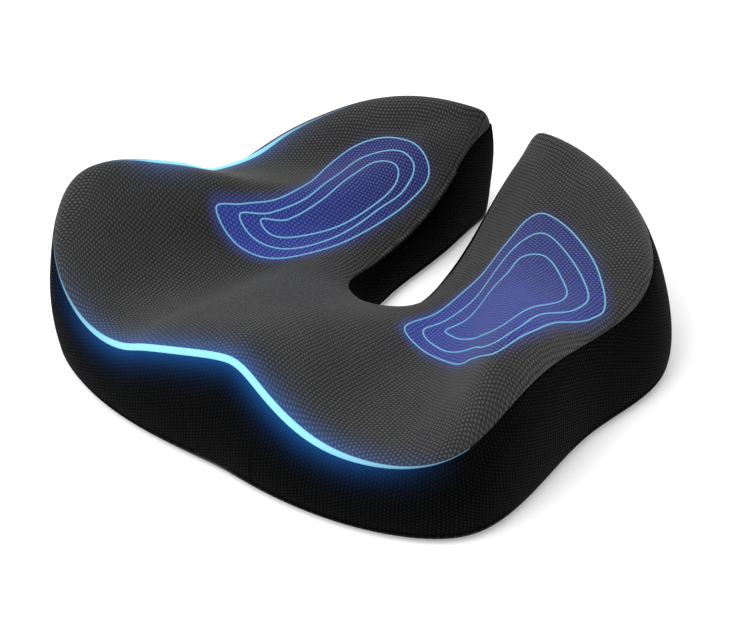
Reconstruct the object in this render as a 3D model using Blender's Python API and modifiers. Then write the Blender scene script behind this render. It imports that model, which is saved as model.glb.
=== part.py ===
"""Contoured seat cushion with a rear slot: a foam core in a liner, in a zipped and sewn fabric cover.

Metres, +X to the sitter's right, +Y to the back, +Z up. The origin is on the flat underside, at
the middle of the cushion's width and depth.
"""

import math

import bmesh
import bpy
from mathutils import Matrix, Vector

MM = 0.001

# ---- driving dimensions ---------------------------------------------------------------------
WIDTH = 0.450  # across the rear lobes
DEPTH = 0.418  # from the front bow to the back of the lobes
HEIGHT = 0.124  # from the underside to the crown of the lobes
SLOT_DEPTH = 0.205  # how far the slot runs in from the back of the lobes
SLOT_END_WIDTH = 0.040  # the slot at its rounded end
SLOT_THROAT_WIDTH = 0.029  # the slot at its narrowest
SLOT_MOUTH_WIDTH = 0.072  # the slot where it leaves between the rounded lobes
BASE_ROUND = 0.012  # how far the flat underside stands in from the outline
FABRIC = 0.0025  # spacer fabric of the cover
LINER = 0.0010  # knitted liner round the foam
GAP = 0.0003  # between pieces that touch
ZIP_Y = -0.095  # the zip runs across the underside here
WINDOW_LENGTH = 0.300  # the opening of the cover that the zip closes
WINDOW_WIDTH = 0.024
POCKET_HEIGHT = 0.0115  # room over the zip, cut in the foam
POCKET_MARGIN = 0.014  # room past the window, on each side
PLACKET_OVERLAP = 0.009  # how far the folded hem lies on the cover beside the window
PLACKET_PROUD = 0.003  # how far it stands into the window
PLACKET_HEIGHT = 0.0035
TAPE_THICKNESS = 0.0008
TAPE_PAST_WINDOW = 0.006  # the tape's ends, past the window
CHAIN_LENGTH = 0.250
CHAIN_HEIGHT = 0.0024
CHAIN_GAP = 0.0014  # between the two rows of teeth, where the slider's wedge runs
TOOTH_PITCH = 0.004
TOOTH_DEPTH = 0.0012
TOOTH_ROOT = 0.0013
STOP_LENGTH = 0.003
SLIDER_LENGTH = 0.011
SLIDER_WIDTH = 0.0110
SLIDER_PLATE = 0.0011
SLIDER_CLEARANCE = 0.0004  # between the slider and the chain
WEDGE_THICKNESS = 0.0007
WEDGE_LENGTH = 0.003
SLIDER_LIP = 0.0009  # the folded sides that wrap the teeth
LIP_SET_BACK = 0.001  # from the slider's ends
WEDGE_SET_BACK = 0.0006
BAIL_WIRE = 0.0009
BAIL_REACH = 0.0052  # between the bail's two feet, along the slider
BAIL_CORNER = 0.0008
PIN_DROP = 0.0022  # from the slider's lower plate to the middle of the pull's pin
PIN_RADIUS = 0.0006
PULL_LENGTH = 0.026
PULL_WIDTH = 0.0075
PULL_THICKNESS = 0.0010
PULL_RIM = 0.0014  # material beside the two holes of the pull
EYE_LENGTH = 0.0050  # the hole that the bail passes through
GRIP_START = 0.50  # the second hole, as shares of the pull's length
GRIP_END = 0.86

# ---- the skin: one half of the outline, from the middle of the front round to the slot ----------
# x is a share of half the width, y of the depth from the front, and heights are shares of the
# height. The seam and the crown stand in from the outline by the millimetres given.
OUTER = (
    # x,     y,     seam in, seam height, crown in, crown height
    (0.000, 0.000, 26, 0.71, 48, 0.79),  # the raised middle of the front
    (0.160, 0.002, 23, 0.66, 46, 0.73),
    (0.338, 0.008, 19, 0.50, 42, 0.55),  # thigh hollow
    (0.533, 0.034, 17, 0.45, 40, 0.49),
    (0.724, 0.079, 16, 0.47, 41, 0.53),
    (0.880, 0.145, 14, 0.58, 42, 0.70),  # front corner
    (0.933, 0.258, 11, 0.73, 42, 0.94),  # side wing
    (0.938, 0.390, 9, 0.76, 42, 0.96),
    (0.942, 0.510, 9, 0.65, 40, 0.75),  # waist
    (0.995, 0.640, 9, 0.65, 40, 0.70),
    (0.965, 0.765, 10, 0.77, 42, 0.84),  # rear corner
    (0.760, 0.892, 12, 0.87, 42, 0.95),
    (0.445, 0.977, 12, 0.90, 36, 0.99),  # back of the lobe
)
COLUMNS = 10  # steps from the middle to the rear corner, and along the slot
ROWS = 3  # steps from the outline to the slot
SLOT_CROWN = (0.94, 0.89, 0.79, 0.65, 0.53, 0.45, 0.41, 0.39, 0.41, 0.45, 0.46)
SLOT_CROWN_IN = 34
MOUTH_ROUND = 0.003  # the lobe's corner stands this far in front of the back
MOUTH_FLARE = 0.004  # how far the slot widens towards its mouth, over FLARE_RATE of its length
FLARE_RATE = 7
END_ROUND = (0.70, 0.35)  # the point that rounds the slot's end, in radii
MOUTH_CROWN_IN = 20  # less at the lobe's tight corner, so that the crown doesn't cross itself
SLOT_SEAM_IN = 6
SLOT_SEAM_DROP = 14  # from the crown down to the seam, in millimetres
# How far each column's surface hangs below the straight line between its two crowns.
SAG = (-0.03, -0.01, 0.02, 0.04, 0.05, 0.10, 0.14, 0.15, 0.12, 0.10, 0.0)
WALL_BULGE = 3  # millimetres that the walls swell past the outline
WALL_MIDDLE = 0.48  # where they swell most, as a share of the seam's height
FOOT_BULGE = 0.5  # millimetres out and up, just over the underside's edge

COLORS = {
    "foam": (0.75, 0.72, 0.62, 1.0),
    "liner": (0.60, 0.60, 0.60, 1.0),
    "mesh_fabric": (0.030, 0.030, 0.034, 1.0),
    "side_fabric": (0.012, 0.012, 0.014, 1.0),
    "grip_fabric": (0.020, 0.020, 0.022, 1.0),
    "zip_tape": (0.010, 0.010, 0.011, 1.0),
    "zip_nylon": (0.025, 0.025, 0.027, 1.0),
    "zip_metal": (0.45, 0.45, 0.47, 1.0),
}


def clear_scene():
    for obj in list(bpy.data.objects):
        bpy.data.objects.remove(obj, do_unlink=True)


def collection(name, hidden=False):
    made = bpy.data.collections.new(name)
    bpy.context.scene.collection.children.link(made)
    made.hide_render = hidden
    return made


def material(name):
    made = bpy.data.materials.get(name)
    if made is None:
        made = bpy.data.materials.new(name)
        made.use_nodes = True
        shader = made.node_tree.nodes["Principled BSDF"]
        shader.inputs["Base Color"].default_value = COLORS[name]
        shader.inputs["Roughness"].default_value = 0.35 if name == "zip_metal" else 0.85
        shader.inputs["Metallic"].default_value = 1.0 if name == "zip_metal" else 0.0
        made.diffuse_color = COLORS[name]
    return made


def add_object(name, mesh, into, slot=None):
    obj = bpy.data.objects.new(name, mesh)
    into.objects.link(obj)
    if slot:
        mesh.materials.clear()
        mesh.materials.append(material(slot))
    return obj


def mesh_of(bm, name):
    mesh = bpy.data.meshes.new(name)
    bm.to_mesh(mesh)
    bm.free()
    return mesh


def evaluated_mesh(obj):
    bpy.context.view_layer.update()
    graph = bpy.context.evaluated_depsgraph_get()
    return bpy.data.meshes.new_from_object(obj.evaluated_get(graph), depsgraph=graph)


# ---- cage of the skin -------------------------------------------------------------------------
def slot_outline():
    """Points from the slot's mouth to the middle of its end, one for each column."""
    mouth = DEPTH - MOUTH_ROUND
    end = DEPTH - SLOT_DEPTH
    radius = SLOT_END_WIDTH / 2
    throat = SLOT_THROAT_WIDTH / 2
    points = [(SLOT_MOUTH_WIDTH / 2, mouth)]
    straight = COLUMNS - 2
    for step in range(straight):
        share = (step + 1) / straight
        y = mouth - share * (SLOT_DEPTH - radius - MOUTH_ROUND)
        flare = math.exp(-((share - 1 / straight) * FLARE_RATE) ** 2)
        half = throat + (radius - throat) * math.sin(share * math.pi / 2) ** 4
        points.append((half + MOUTH_FLARE * flare, y))
    points.append((radius * END_ROUND[0], end + radius * END_ROUND[1]))
    points.append((0.0, end))
    return points


def half_outline():
    """(plan point, seam inset, seam height, crown inset, crown height) of each station."""
    stations = []
    for x, y, seam_in, seam, crown_in, crown in OUTER:
        plan = Vector((x * WIDTH / 2, y * DEPTH))
        stations.append([plan, seam_in * MM, seam * HEIGHT, crown_in * MM, crown * HEIGHT])
    for (x, y), crown in zip(slot_outline(), SLOT_CROWN):
        seam = crown * HEIGHT - SLOT_SEAM_DROP * MM
        crown_in = SLOT_CROWN_IN if len(stations) > len(OUTER) else MOUTH_CROWN_IN
        stations.append([Vector((x, y)), SLOT_SEAM_IN * MM, seam, crown_in * MM, crown * HEIGHT])
    return stations


def neighbours(values, index, flip):
    """The values before and after, mirrored across the middle plane at both ends of the half."""
    before = values[index - 1] if index else flip(values[1])
    after = values[index + 1] if index + 1 < len(values) else flip(values[-2])
    return before, after


def tightened(points, flip):
    """A cage is smoothed inwards, so each point moves out by a sixth of its bend to make up for it."""
    out = []
    for index, point in enumerate(points):
        before, after = neighbours(points, index, flip)
        out.append(point + (point * 2 - before - after) / 6)
    return out


def mirror_plan(point):
    return Vector((-point.x, point.y))


def outward(plan):
    """Unit vectors in plan, square to the outline and pointing out of the foam."""
    out = []
    for index in range(len(plan)):
        before, after = neighbours(plan, index, mirror_plan)
        along = (after - before).normalized()
        out.append(Vector((along.y, -along.x)))
    return out


def cage_rings():
    """Rings of 3-D points from the underside up to the crown, each with one point per station."""
    stations = half_outline()
    plan = tightened([s[0] for s in stations], mirror_plan)
    normal = outward(plan)
    seam = tightened([s[2] for s in stations], lambda v: v)
    crown = tightened([s[4] for s in stations], lambda v: v)
    rings = [[], [], [], [], []]
    for k, (_, seam_in, _, crown_in, _) in enumerate(stations):
        levels = (
            (BASE_ROUND, 0.0),
            (-FOOT_BULGE * MM, FOOT_BULGE * MM),
            (-WALL_BULGE * MM, seam[k] * WALL_MIDDLE),
            (seam_in, seam[k]),
            (crown_in, crown[k]),
        )
        for ring, (inset, height) in zip(rings, levels):
            point = plan[k] - normal[k] * inset
            ring.append(Vector((point.x, point.y, height)))
    for ring in rings:
        ring[0].x = 0.0
        ring[-1].x = 0.0
    return rings


def grid_index(i, j):
    """The station that a grid's corner (i, j) falls on, or None inside the grid."""
    if j == 0:
        return i
    if j == ROWS:
        return 2 * COLUMNS + ROWS - i
    if i == COLUMNS:
        return COLUMNS + j
    return None


def fill_grid(bm, ring, points, sag):
    """The grid of faces inside a ring: ROWS across, and COLUMNS from the middle to the rear."""
    grid = []
    for i in range(COLUMNS + 1):
        outer = points[grid_index(i, 0)]
        inner = points[grid_index(i, ROWS)]
        line = []
        for j in range(ROWS + 1):
            station = grid_index(i, j)
            if station is not None:
                line.append(ring[station])
                continue
            share = j / ROWS
            point = outer.lerp(inner, share)
            point.z -= sag[i] * HEIGHT * 4 * share * (1 - share)
            if i == 0:
                point.x = 0.0
            line.append(bm.verts.new(point))
        grid.append(line)
    faces = []
    for i in range(COLUMNS):
        for j in range(ROWS):
            corners = (grid[i][j], grid[i + 1][j], grid[i + 1][j + 1], grid[i][j + 1])
            faces.append(bm.faces.new(corners))
    return faces


TOP, SIDE, SLOT, BOTTOM = range(4)


def build_cage():
    rings = cage_rings()
    bm = bmesh.new()
    made = [[bm.verts.new(point) for point in ring] for ring in rings]
    mouth = COLUMNS + ROWS
    for level in range(len(rings) - 1):
        for k in range(len(rings[0]) - 1):
            lower, upper = made[level], made[level + 1]
            face = bm.faces.new((lower[k], lower[k + 1], upper[k + 1], upper[k]))
            wall = SIDE if k < mouth else SLOT
            face.material_index = (BOTTOM, wall, wall, TOP)[level]
    for face in fill_grid(bm, made[-1], rings[-1], SAG):
        face.material_index = TOP
    underside = fill_grid(bm, made[0], rings[0], [0.0] * (COLUMNS + 1))
    for face in underside:
        face.material_index = BOTTOM
    bmesh.ops.reverse_faces(bm, faces=underside)
    return mesh_of(bm, "skin_cage")


def fit_to_size(bm):
    """Scales the smoothed skin to its stated size and puts its box on the origin, underside at zero."""
    low = Vector([min(v.co[axis] for v in bm.verts) for axis in range(3)])
    high = Vector([max(v.co[axis] for v in bm.verts) for axis in range(3)])
    foot = Vector(((low.x + high.x) / 2, (low.y + high.y) / 2, low.z))
    size = high - low
    bmesh.ops.translate(bm, verts=bm.verts, vec=-foot)
    bmesh.ops.scale(bm, verts=bm.verts, vec=(WIDTH / size.x, DEPTH / size.y, HEIGHT / size.z))


def build_skin(helpers):
    """The cover's outer surface as one closed mesh of triangles, its faces marked by panel."""
    obj = add_object("skin_cage", build_cage(), helpers)
    for slot in ("mesh_fabric", "side_fabric", "side_fabric", "grip_fabric"):
        obj.data.materials.append(material(slot))
    mirror = obj.modifiers.new("mirror", "MIRROR")
    mirror.use_clip = True
    mirror.merge_threshold = 0.0001
    smooth = obj.modifiers.new("smooth", "SUBSURF")
    smooth.levels = 1
    smooth.render_levels = 1
    obj.hide_render = True
    obj.display_type = "WIRE"
    mesh = evaluated_mesh(obj)
    bm = bmesh.new()
    bm.from_mesh(mesh)
    bmesh.ops.triangulate(bm, faces=bm.faces)
    bmesh.ops.recalc_face_normals(bm, faces=bm.faces)
    fit_to_size(bm)
    bm.normal_update()
    return bm


# ---- layers of the skin -----------------------------------------------------------------------
def pull_back_edges(bm, distance):
    """Moves an open sheet's edge back into the sheet, which leaves a seam's gap."""
    moves = {}
    for vert in bm.verts:
        if not vert.is_boundary:
            continue
        inside = [e.other_vert(vert) for e in vert.link_edges if not e.is_boundary]
        if not inside:
            inside = [v for f in vert.link_faces for v in f.verts if v is not vert]
        target = sum((v.co for v in inside), Vector()) / len(inside)
        moves[vert] = (target - vert.co).normalized() * distance
    for vert, move in moves.items():
        vert.co += move


def sheet(skin, name, panels, depth, thickness, into, slot):
    """A sheet that lies depth below the skin's chosen panels, with its rim square to the skin.

    A thickness of nothing leaves the surface single, which closes it only if all panels are chosen.
    """
    bm = skin.copy()
    inward = bm.verts.layers.float_vector.new("inward")
    for vert in bm.verts:
        vert[inward] = -vert.normal
    others = [f for f in bm.faces if f.material_index not in panels]
    bmesh.ops.delete(bm, geom=others, context="FACES")
    if others:
        pull_back_edges(bm, GAP * 0.8)
    for vert in bm.verts:
        vert.co += vert[inward] * depth
    if thickness:
        rim = [
            (loop.vert, loop.link_loop_next.vert)
            for face in bm.faces
            for loop in face.loops
            if loop.edge.is_boundary
        ]
        outer = list(bm.faces)
        twin = {vert: bm.verts.new(vert.co + vert[inward] * thickness) for vert in list(bm.verts)}
        for face in outer:
            bm.faces.new([twin[vert] for vert in reversed(face.verts)])
        for start, end in rim:
            bm.faces.new((end, start, twin[start], twin[end]))
    for face in bm.faces:
        face.material_index = 0
        face.smooth = True
    return add_object(name, mesh_of(bm, name), into, slot)


def box(name, low, high, into, slot=None, bevel=0.0):
    bm = bmesh.new()
    bmesh.ops.create_cube(bm, size=1.0)
    size = Vector(high) - Vector(low)
    centre = (Vector(high) + Vector(low)) / 2
    bmesh.ops.scale(bm, verts=bm.verts, vec=size)
    bmesh.ops.translate(bm, verts=bm.verts, vec=centre)
    if bevel:
        bmesh.ops.bevel(bm, geom=bm.edges, offset=bevel, segments=2, affect="EDGES", profile=0.5)
    return add_object(name, mesh_of(bm, name), into, slot)


def cutter(name, low, high, into):
    obj = box(name, low, high, into)
    obj.hide_render = True
    obj.display_type = "WIRE"
    return obj


def boolean(obj, tool, operation="DIFFERENCE"):
    cut = obj.modifiers.new(tool.name, "BOOLEAN")
    cut.operation = operation
    cut.object = tool
    return cut


# ---- the cushion ------------------------------------------------------------------------------
def build_cushion(parts, helpers):
    skin = build_skin(helpers)
    sheet(skin, "cover_top_panel", {TOP}, 0.0, FABRIC, parts, "mesh_fabric")
    sheet(skin, "cover_side_band", {SIDE}, 0.0, FABRIC, parts, "side_fabric")
    sheet(skin, "cover_slot_band", {SLOT}, 0.0, FABRIC, parts, "side_fabric")
    liner = sheet(skin, "inner_liner", {TOP, SIDE, SLOT, BOTTOM}, FABRIC + GAP, LINER, parts, "liner")
    foam_depth = FABRIC + GAP + LINER + GAP
    foam = sheet(skin, "foam_core", {TOP, SIDE, SLOT, BOTTOM}, foam_depth, 0.0, parts, "foam")

    half_length = WINDOW_LENGTH / 2 + POCKET_MARGIN
    half_width = WINDOW_WIDTH / 2 + POCKET_MARGIN
    pocket = cutter(
        "zip_pocket",
        (-half_length, ZIP_Y - half_width, -0.01),
        (half_length, ZIP_Y + half_width, POCKET_HEIGHT),
        helpers,
    )
    boolean(liner, pocket)
    boolean(foam, pocket)

    window = cutter(
        "zip_window",
        (-WINDOW_LENGTH / 2, ZIP_Y - WINDOW_WIDTH / 2, -0.01),
        (WINDOW_LENGTH / 2, ZIP_Y + WINDOW_WIDTH / 2, 0.01),
        helpers,
    )
    reach = WIDTH
    behind = cutter("behind_zip", (-reach, ZIP_Y - GAP / 2, -0.05), (reach, DEPTH, 0.05), helpers)
    ahead = cutter("ahead_of_zip", (-reach, -DEPTH, -0.05), (reach, ZIP_Y + GAP / 2, 0.05), helpers)
    for name, other_side in (("bottom_panel_front", behind), ("bottom_panel_rear", ahead)):
        panel = sheet(skin, name, {BOTTOM}, 0.0, FABRIC, parts, "grip_fabric")
        boolean(panel, other_side)
        boolean(panel, window)
    skin.free()


# ---- the zip ----------------------------------------------------------------------------------
PLACKET_LOW = FABRIC + GAP
TAPE_LOW = PLACKET_LOW + PLACKET_HEIGHT + GAP
CHAIN_MIDDLE = TAPE_LOW + TAPE_THICKNESS / 2
CHAIN_OUTER = CHAIN_GAP / 2 + TOOTH_DEPTH + TOOTH_ROOT
PLATE_FACE = CHAIN_HEIGHT / 2 + SLIDER_CLEARANCE
STOP_X = CHAIN_LENGTH / 2 + GAP
SLIDER_REST_X = CHAIN_LENGTH / 2 - SLIDER_LENGTH / 2
PIN_Z = CHAIN_MIDDLE - PLATE_FACE - SLIDER_PLATE - PIN_DROP


def build_tooth_row(name, side, parts):
    """One row of teeth as a comb, its teeth pointing at the middle of the zip."""
    bm = bmesh.new()
    count = int(round(CHAIN_LENGTH / TOOTH_PITCH))
    tip = CHAIN_GAP / 2
    root = tip + TOOTH_DEPTH
    points = []
    for n in range(count):
        start = -CHAIN_LENGTH / 2 + n * TOOTH_PITCH
        points += [(start, tip), (start + TOOTH_PITCH * 0.5, tip)]
        points += [(start + TOOTH_PITCH * 0.5, root), (start + TOOTH_PITCH, root)]
    points += [(CHAIN_LENGTH / 2, CHAIN_OUTER), (-CHAIN_LENGTH / 2, CHAIN_OUTER)]
    low = CHAIN_MIDDLE - CHAIN_HEIGHT / 2
    verts = [bm.verts.new((x, ZIP_Y + side * y, low)) for x, y in points]
    face = bm.faces.new(verts)
    raised = bmesh.ops.extrude_face_region(bm, geom=[face])
    tops = [g for g in raised["geom"] if isinstance(g, bmesh.types.BMVert)]
    bmesh.ops.translate(bm, verts=tops, vec=(0, 0, CHAIN_HEIGHT))
    bmesh.ops.recalc_face_normals(bm, faces=bm.faces)
    add_object(name, mesh_of(bm, name), parts, "zip_nylon")


def build_zip_side(which, side, parts):
    inner = WINDOW_WIDTH / 2 - PLACKET_PROUD
    outer = WINDOW_WIDTH / 2 + PLACKET_OVERLAP
    half = WINDOW_LENGTH / 2 + TAPE_PAST_WINDOW

    def across(near, far):
        return sorted((ZIP_Y + side * near, ZIP_Y + side * far))

    low, high = across(inner, outer)
    box(
        f"zip_placket_{which}",
        (-half, low, PLACKET_LOW),
        (half, high, PLACKET_LOW + PLACKET_HEIGHT),
        parts,
        "side_fabric",
        bevel=0.0008,
    )
    low, high = across(CHAIN_OUTER + GAP, outer)
    box(
        f"zip_tape_{which}",
        (-half, low, TAPE_LOW),
        (half, high, TAPE_LOW + TAPE_THICKNESS),
        parts,
        "zip_tape",
        bevel=0.0002,
    )
    build_tooth_row(f"zip_teeth_{which}", side, parts)
    low, high = across(CHAIN_GAP / 2, CHAIN_OUTER)
    stop = CHAIN_HEIGHT / 2 + SLIDER_CLEARANCE / 2
    box(
        f"zip_top_stop_{which}",
        (STOP_X, low, CHAIN_MIDDLE - stop),
        (STOP_X + STOP_LENGTH, high, CHAIN_MIDDLE + stop),
        parts,
        "zip_metal",
        bevel=0.0004,
    )


def build_slider(parts, helpers):
    """Two plates on a wedge, with lips that wrap the teeth, and the wire bail that holds the pull."""
    x0 = SLIDER_REST_X - SLIDER_LENGTH / 2
    x1 = SLIDER_REST_X + SLIDER_LENGTH / 2
    half = SLIDER_WIDTH / 2
    lip_reach = PLATE_FACE - TAPE_THICKNESS / 2 - SLIDER_CLEARANCE
    body = None
    for sign in (-1, 1):
        near = CHAIN_MIDDLE + sign * PLATE_FACE
        far = near + sign * SLIDER_PLATE
        low, high = sorted((near, far))
        plate = box(
            "zip_slider" if body is None else "slider_plate",
            (x0, ZIP_Y - half, low),
            (x1, ZIP_Y + half, high),
            parts if body is None else helpers,
            "zip_metal",
            bevel=0.0004,
        )
        pieces = [] if body is None else [plate]
        body = body or plate
        for side in (-1, 1):
            y = sorted((ZIP_Y + side * half, ZIP_Y + side * (half - SLIDER_LIP)))
            z = sorted((near + sign * SLIDER_PLATE / 2, near - sign * lip_reach))
            start = (x0 + LIP_SET_BACK, y[0], z[0])
            end = (x1 - LIP_SET_BACK, y[1], z[1])
            pieces.append(box("slider_lip", start, end, helpers))
        for piece in pieces:
            piece.hide_render = True
            piece.display_type = "WIRE"
            boolean(body, piece, "UNION")
    rise = PLATE_FACE + SLIDER_PLATE / 2
    wedge = box(
        "slider_wedge",
        (x1 - WEDGE_LENGTH, ZIP_Y - WEDGE_THICKNESS / 2, CHAIN_MIDDLE - rise),
        (x1 - WEDGE_SET_BACK, ZIP_Y + WEDGE_THICKNESS / 2, CHAIN_MIDDLE + rise),
        helpers,
    )
    bail = build_bail(helpers)
    for piece in (wedge, bail):
        piece.hide_render = True
        piece.display_type = "WIRE"
        boolean(body, piece, "UNION")
    return body


def build_bail(helpers):
    """A wire arch along the slider, its feet in the lower plate, that the pull's pin runs through."""
    plate_z = CHAIN_MIDDLE - PLATE_FACE - SLIDER_PLATE / 2
    top_z = PIN_Z - PIN_RADIUS - SLIDER_CLEARANCE / 2 - BAIL_WIRE / 2
    curve = bpy.data.curves.new("bail", "CURVE")
    curve.dimensions = "3D"
    curve.bevel_depth = BAIL_WIRE / 2
    curve.bevel_resolution = 2
    curve.use_fill_caps = True
    line = curve.splines.new("POLY")
    half = BAIL_REACH / 2
    path = [
        (-half, plate_z),
        (-half, top_z + BAIL_CORNER),
        (-half + BAIL_CORNER, top_z),
        (half - BAIL_CORNER, top_z),
        (half, top_z + BAIL_CORNER),
        (half, plate_z),
    ]
    line.points.add(len(path) - 1)
    for point, (x, z) in zip(line.points, path):
        point.co = (SLIDER_REST_X + x, ZIP_Y, z, 1)
    wire = add_object("bail_wire", curve, helpers)
    mesh = evaluated_mesh(wire)
    bpy.data.objects.remove(wire, do_unlink=True)
    bm = bmesh.new()
    bm.from_mesh(mesh)
    bmesh.ops.remove_doubles(bm, verts=bm.verts, dist=1e-6)
    bmesh.ops.recalc_face_normals(bm, faces=bm.faces)
    bm.to_mesh(mesh)
    bm.free()
    return add_object("slider_bail", mesh, helpers)


def build_pull(parts, helpers):
    """A flat tab on a round pin that runs through the bail; its origin is on the pin's axis."""
    axis = Vector((SLIDER_REST_X, ZIP_Y, PIN_Z))
    low = Vector((0.0, -PULL_WIDTH / 2, -PULL_THICKNESS / 2))
    high = Vector((PULL_LENGTH, PULL_WIDTH / 2, PULL_THICKNESS / 2))
    pull = box("zip_pull", low, high, parts, "zip_metal", bevel=0.0003)
    reach = PULL_WIDTH / 2 - PULL_RIM
    holes = ((-PULL_RIM, EYE_LENGTH), (PULL_LENGTH * GRIP_START, PULL_LENGTH * GRIP_END))
    for start, end in holes:
        hole = cutter("pull_hole", (start, -reach, -0.01), (end, reach, 0.01), helpers)
        hole.location = axis
        boolean(pull, hole)
    bm = bmesh.new()
    bmesh.ops.create_cone(
        bm,
        cap_ends=True,
        segments=24,
        radius1=PIN_RADIUS,
        radius2=PIN_RADIUS,
        depth=PULL_WIDTH,
        matrix=Matrix.Rotation(math.pi / 2, 4, "X"),
    )
    pin = add_object("pull_pin", mesh_of(bm, "pull_pin"), helpers)
    pin.hide_render = True
    pin.display_type = "WIRE"
    pin.location = axis
    boolean(pull, pin, "UNION")
    pull.location = axis
    return pull


def build_zip(parts, helpers):
    for which, side in (("front", -1), ("rear", 1)):
        build_zip_side(which, side, parts)
    stop = CHAIN_HEIGHT / 2 + SLIDER_CLEARANCE / 2
    box(
        "zip_bottom_stop",
        (-STOP_X - STOP_LENGTH, ZIP_Y - CHAIN_OUTER, CHAIN_MIDDLE - stop),
        (-STOP_X, ZIP_Y + CHAIN_OUTER, CHAIN_MIDDLE + stop),
        parts,
        "zip_metal",
        bevel=0.0004,
    )
    slider = build_slider(parts, helpers)
    pull = build_pull(parts, helpers)
    runner = bpy.data.objects.new("zip_runner", None)
    parts.objects.link(runner)
    slider.parent = runner
    pull.parent = runner


def main():
    clear_scene()
    parts = collection("seat_cushion")
    helpers = collection("cutters", hidden=True)
    build_cushion(parts, helpers)
    build_zip(parts, helpers)


main()
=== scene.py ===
"""Contoured seat cushion with a rear slot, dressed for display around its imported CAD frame.

Metres, +X to the sitter's right, +Y to the back, +Z up; the flat underside stands on z = 0.
"""

import math

import bmesh
import bpy
import numpy as np
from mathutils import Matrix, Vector
from mathutils.bvhtree import BVHTree
from mathutils.kdtree import KDTree


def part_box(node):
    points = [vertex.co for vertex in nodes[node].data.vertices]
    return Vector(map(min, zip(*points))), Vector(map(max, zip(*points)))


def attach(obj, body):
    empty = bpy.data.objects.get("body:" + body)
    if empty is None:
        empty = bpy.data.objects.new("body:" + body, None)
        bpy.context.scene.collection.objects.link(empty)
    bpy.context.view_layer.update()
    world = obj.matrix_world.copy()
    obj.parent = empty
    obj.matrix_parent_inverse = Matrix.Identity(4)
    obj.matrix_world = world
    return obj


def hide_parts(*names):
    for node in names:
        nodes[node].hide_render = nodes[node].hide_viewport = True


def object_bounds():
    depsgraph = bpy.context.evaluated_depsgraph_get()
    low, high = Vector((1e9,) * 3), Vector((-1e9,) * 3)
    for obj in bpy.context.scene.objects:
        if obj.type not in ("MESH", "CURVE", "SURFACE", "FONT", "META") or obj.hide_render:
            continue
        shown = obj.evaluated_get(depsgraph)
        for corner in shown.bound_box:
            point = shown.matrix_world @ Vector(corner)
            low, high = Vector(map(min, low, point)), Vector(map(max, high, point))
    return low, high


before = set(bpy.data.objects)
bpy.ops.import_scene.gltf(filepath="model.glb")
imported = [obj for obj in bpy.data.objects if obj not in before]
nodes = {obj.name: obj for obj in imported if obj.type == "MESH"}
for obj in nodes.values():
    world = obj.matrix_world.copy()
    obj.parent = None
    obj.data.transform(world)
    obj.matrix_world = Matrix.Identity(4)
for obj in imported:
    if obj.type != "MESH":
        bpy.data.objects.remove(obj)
cad_low, cad_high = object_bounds()
MM = 0.001

# ---- Moulded foam core ------------------------------------------------------------------------
# One block of slow foam, poured in a mould: two thigh hollows beside a low ridge, raised side
# wings, a bowl that rises to two rear lobes, and a slot between them. Its skin shapes the cover.
WIDTH, DEPTH, HEIGHT = cad_high - cad_low
OUTLINE = (
    # share of half width, share of depth, then in millimetres or shares of the height:
    # seam inset, seam height, crown inset, crown height
    (0.000, 0.014, 27, 0.77, 52, 0.80),  # the ridge at the middle of the front
    (0.150, 0.010, 21, 0.64, 46, 0.72),
    (0.338, 0.016, 17, 0.49, 42, 0.53),  # thigh hollow
    (0.533, 0.036, 15, 0.45, 40, 0.48),
    (0.724, 0.076, 15, 0.48, 41, 0.53),
    (0.880, 0.145, 14, 0.60, 42, 0.72),  # front corner
    (0.930, 0.258, 11, 0.76, 42, 0.96),  # side wing
    (0.930, 0.390, 9, 0.76, 42, 0.97),
    (0.935, 0.510, 9, 0.65, 40, 0.76),  # waist
    (0.985, 0.640, 14, 0.65, 40, 0.70),
    (0.960, 0.765, 17, 0.76, 42, 0.82),  # rear corner
    (0.750, 0.892, 16, 0.85, 42, 0.93),
    (0.430, 0.977, 14, 0.88, 36, 0.965),  # back of the lobe
)
COLUMNS, ROWS = 10, 3
SLOT_DEPTH = 0.212
SLOT_END, SLOT_THROAT, SLOT_MOUTH = 0.046, 0.030, 0.056
SLOT_CROWN = (0.91, 0.88, 0.79, 0.65, 0.53, 0.45, 0.41, 0.39, 0.41, 0.45, 0.46)
SLOT_CROWN_IN, MOUTH_CROWN_IN, SLOT_SEAM_IN, SLOT_SEAM_DROP = 34, 20, 6, 14
SAG = (-0.03, -0.01, 0.02, 0.04, 0.05, 0.10, 0.14, 0.15, 0.12, 0.10, 0.0)
FRONT_TUCK, RIGHT_TUCK, LEAN_FROM, LEAN_FRONT, LEAN_REAR = 0.022, 0.024, 20 * MM, 0.16, 0.13
WING_RISE, WING_SWELL, WING_SPREAD = 28 * MM, 3 * MM, 14 * MM
WAIST_DROP, WAIST_PINCH, SLOT_FOOT_IN = 20 * MM, 16 * MM, 6 * MM
UNDERSIDE_IN, FOOT_BULGE, WALL_BULGE, WALL_MIDDLE = 12 * MM, 0.5 * MM, 1.5 * MM, 0.48
STUFFING_VOXEL, STUFFING_PRESSURE, STUFFING_FRAMES, STUFFING_CAP = 6 * MM, 4.0, 20, 2 * MM
STUFFING_SPOTS, SEAM_HOLD, FOOT_HOLD = 40, 5 * MM, 10 * MM
SEAM_FREE, FOOT_FREE = (2 * MM, 25 * MM), (FOOT_HOLD, 30 * MM)
TOP, SIDE, SLOT, BOTTOM = range(4)
SKIN_LEVELS = 4


def tightened(points, turn):
    """Points moved out by a sixth of their bend, which a subdivision surface takes away again."""
    points = np.array(points, float).reshape(len(points), -1)
    around = np.vstack([turn * points[1:2], points, turn * points[-2:-1]])
    return points + (2 * points - around[:-2] - around[2:]) / 6


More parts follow.
